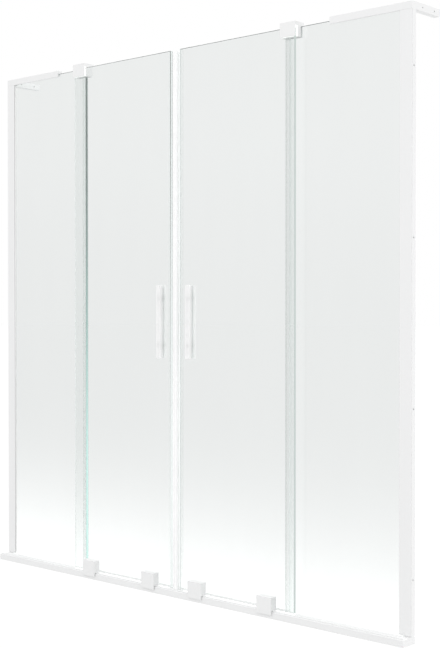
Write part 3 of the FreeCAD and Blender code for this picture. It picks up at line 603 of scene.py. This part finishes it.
# painted_glow and painted_side_glow are painted light: emission on these plastics and the handles
magnet = new_material("white_magnet", pale_plastic(
    grey(0.8), grey(0.82), grain=1200, roughness=0.4, depth=4 * MM, painted_glow=0.08, painted_side_glow=0.16))
infill = new_material("white_plastic", pale_plastic(
    grey(0.86), grey(0.89), grain=900, roughness=0.45, depth=2 * MM, painted_glow=0.08))
nylon = new_material("natural_nylon", pale_plastic(
    (0.88, 0.875, 0.85, 1), (0.92, 0.915, 0.89, 1), grain=700, roughness=0.4, depth=6 * MM, painted_glow=0.4))
silicone = new_material("white_silicone", pale_plastic(
    (0.88, 0.88, 0.87, 1), (0.91, 0.91, 0.9, 1), grain=500, roughness=0.6, depth=4 * MM, painted_glow=0.25))
milky = new_material("milky_plastic", pale_plastic(
    (0.95, 0.955, 0.95, 1), (0.97, 0.975, 0.97, 1), grain=600, roughness=0.35, depth=6 * MM, painted_glow=0.3))
bar = new_material("handle_white", pale_plastic(
    grey(0.71), grey(0.73), grain=900, roughness=0.4, depth=25 * MM, painted_glow=0.065))
print("plastics", [m.name for m in (magnet, infill, nylon, silicone, milky, bar)])

# %% [markdown]
# ## Steel
#
# The studs, screws, bolts, axles, bearings and carriers are stainless steel.
# It is drawn or rolled, which leaves fine lines.
# The shader's own anisotropy would stretch the highlights, but draws no lines.
# A noise that is drawn out along one axis gives them. It changes the gloss more than the colour.

# %% Steel
STEEL_TINTS = ((0.55, 0.55, 0.56, 1), (0.68, 0.68, 0.69, 1))
STEEL_LINES = (2500, 2500, 30)
STEEL_ROUGHNESS = (0.25, 0.45)
LINE_DEPTH = 0.01 * MM


def drawn_steel(graph):
    lines = graph.drawn_noise(graph.place(), STEEL_LINES, detail=3)
    return graph.node("ShaderNodeBsdfPrincipled", inputs={
        "Base Color": graph.mix(lines, *STEEL_TINTS),
        "Metallic": 1.0,
        "Roughness": lines.ramp(*NOISE_SPAN, *STEEL_ROUGHNESS),
        "Normal": graph.bump(lines, LINE_DEPTH),
    })


steel = new_material("stainless_steel", drawn_steel)
print("metal", steel.name)

# %% [markdown]
# ## Finishes on the pieces
#
# The record names a finish for every node. Materials could be set piece by piece,
# but a table from that name to a material dresses them all in one loop and leaves none out.
# The handles, drip seals, profiles and brace legs look a little unlike the rest of their finish,
# so they have materials of their own: the profiles carry painted shade, the brace legs painted light.

# %% Every node gets its material
SLOT_MATERIALS = {
    "white_paint": white_paint,
    "clear_glass": fixed_glass,
    "clear_seal": clear_seal,
    "white_magnet": magnet,
    "white_plastic": infill,
    "nylon": nylon,
    "white_silicone": silicone,
    "steel": steel,
}
OWN_MATERIALS = {
    "handle_front": bar,
    "handle_back": bar,
    "drip_seal": milky,
    "cover_profile": painted_shade_paint,
    "brace_leg": painted_light_paint,
}
subparts = frame["record"]["subparts"]
for subpart in subparts:
    mesh = nodes[subpart["node"]].data
    kind = subpart["node"].rpartition("_")[0]
    mesh.materials.clear()
    mesh.materials.append(OWN_MATERIALS.get(kind, SLOT_MATERIALS[subpart["material_slot"]]))
print(f"{len(subparts)} nodes dressed")

# %% [markdown]
# ## Floor
#
# The photograph is a cut-out on white: no wall, no shadow to speak of, and glass a little greyer than the
# white behind it. A white floor under strong lamps would bleach the object too, so this one shines by itself,
# by a measure that depends on how it is looked at, which the Light Path node tells.
# Through the glass it brightens towards the screen's foot, so the panes go from pale grey above
# to white below.

# %% A floor that shines
WHITE = grey(1)
FLOOR_REACH = 40
FLOOR_DROP = 0.5 * MM
FLOOR_SHADE = grey(0.15)
SHINE_SEEN = 0.9
SHINE_ON_PIECES = 0.75


def sight(graph):
    """Three masks for a ray: straight from the camera, through glass, and off a mirror."""
    path = graph.node("ShaderNodeLightPath")
    through = path.output("Is Transmission Ray")
    mirrored = path.output("Is Glossy Ray") * (1 - through)
    return path.output("Is Camera Ray"), through, mirrored


def fading(distance, far, gain, rate):
    """Far + gain * exp(-rate * distance)."""
    return far + (distance * -rate).math("EXPONENT") * gain


def pale_floor(graph):
    distance = abs(graph.split(graph.place())[1])
    seen, through, mirrored = sight(graph)
    other = 1 - seen.either(through).either(mirrored)
    behind = fading(distance, far=0.742, gain=0.33, rate=1.3)
    before = fading(distance, far=0.15, gain=0.75, rate=1.2)
    strength = seen * SHINE_SEEN + through * behind + mirrored * before + other * SHINE_ON_PIECES
    shade = graph.node("ShaderNodeBsdfDiffuse", inputs={"Color": FLOOR_SHADE})
    shine = graph.node("ShaderNodeEmission", inputs={"Color": WHITE, "Strength": strength})
    return graph.node("ShaderNodeAddShader", inputs={0: shade, 1: shine})


corners = FLOOR_REACH * np.array([(-1, -1, 0), (1, -1, 0), (1, 1, 0), (-1, 1, 0)])
floor_mesh = bpy.data.meshes.new("floor")
floor_mesh.from_pydata(corners, [], [(0, 1, 2, 3)])
floor_mesh.materials.append(new_material("pale_floor", pale_floor))
floor = bpy.data.objects.new("floor", floor_mesh)
floor.location = (0, 0, -FLOOR_DROP)
bpy.context.scene.collection.objects.link(floor)
print("floor", FLOOR_REACH * 2, "m wide")

# %% [markdown]
# ## Dome
#
# The world is a plain white dome. A picture of a room would light the screen unevenly,
# and the photograph is even.
# What is seen through the glass is greyer towards the horizon, where it meets the floor without a step.
# In mirror images the dome is dimmer, as the far side of a dark room would be.

# %% A white dome
HAZE_RISE = (0.0, 0.15)
HAZE = (0.106, 0.082)
MIRROR_DIMMING = 0.67


def white_dome(graph):
    _, through, mirrored = sight(graph)
    rise = graph.split(graph.node("ShaderNodeTexCoord").output("Generated"))[2]
    strength = 1 - mirrored * MIRROR_DIMMING - through * rise.ramp(*HAZE_RISE, *HAZE)
    return graph.node("ShaderNodeBackground", inputs={"Color": WHITE, "Strength": strength})


world = bpy.data.worlds.new("studio")
bpy.context.scene.world = world
world.use_nodes = True
world_graph = Graph(world.node_tree)
world_graph.node("ShaderNodeOutputWorld", inputs={"Surface": white_dome(world_graph)})
bpy.context.scene.view_settings.view_transform = "Standard"
print("world", world.name)

# %% [markdown]
# ## Soft boxes
#
# A dome alone leaves faces of every direction about equally bright. Two soft boxes set them apart:
# one stands high before the screen, and one at the right, where the photograph's faces are brightest.
# Point lamps would do that too, but with hard shadows, which the photograph hasn't.

# %% Two area lamps


def soft_box(name, place, target, size, power):
    """A square area light that faces a point."""
    light = bpy.data.lights.new(name, "AREA")
    light.size = size
    light.energy = power
    lamp = bpy.data.objects.new(name, light)
    x, y, z = np.subtract(target, place)
    lamp.location = place
    lamp.rotation_euler = (math.atan2(math.hypot(x, y), -z), 0, math.atan2(-x, y))
    lamp.visible_camera = False
    bpy.context.scene.collection.objects.link(lamp)
    return lamp


lamps = [
    soft_box("front", place=(0.8, -3.5, 2.6), target=(0, 0, 0.7), size=3.0, power=21),
    soft_box("right", place=(5, 2, 1.2), target=(0, 0, 0.8), size=2.5, power=40),
]
print("lamps", [lamp.name for lamp in lamps])

# %% [markdown]
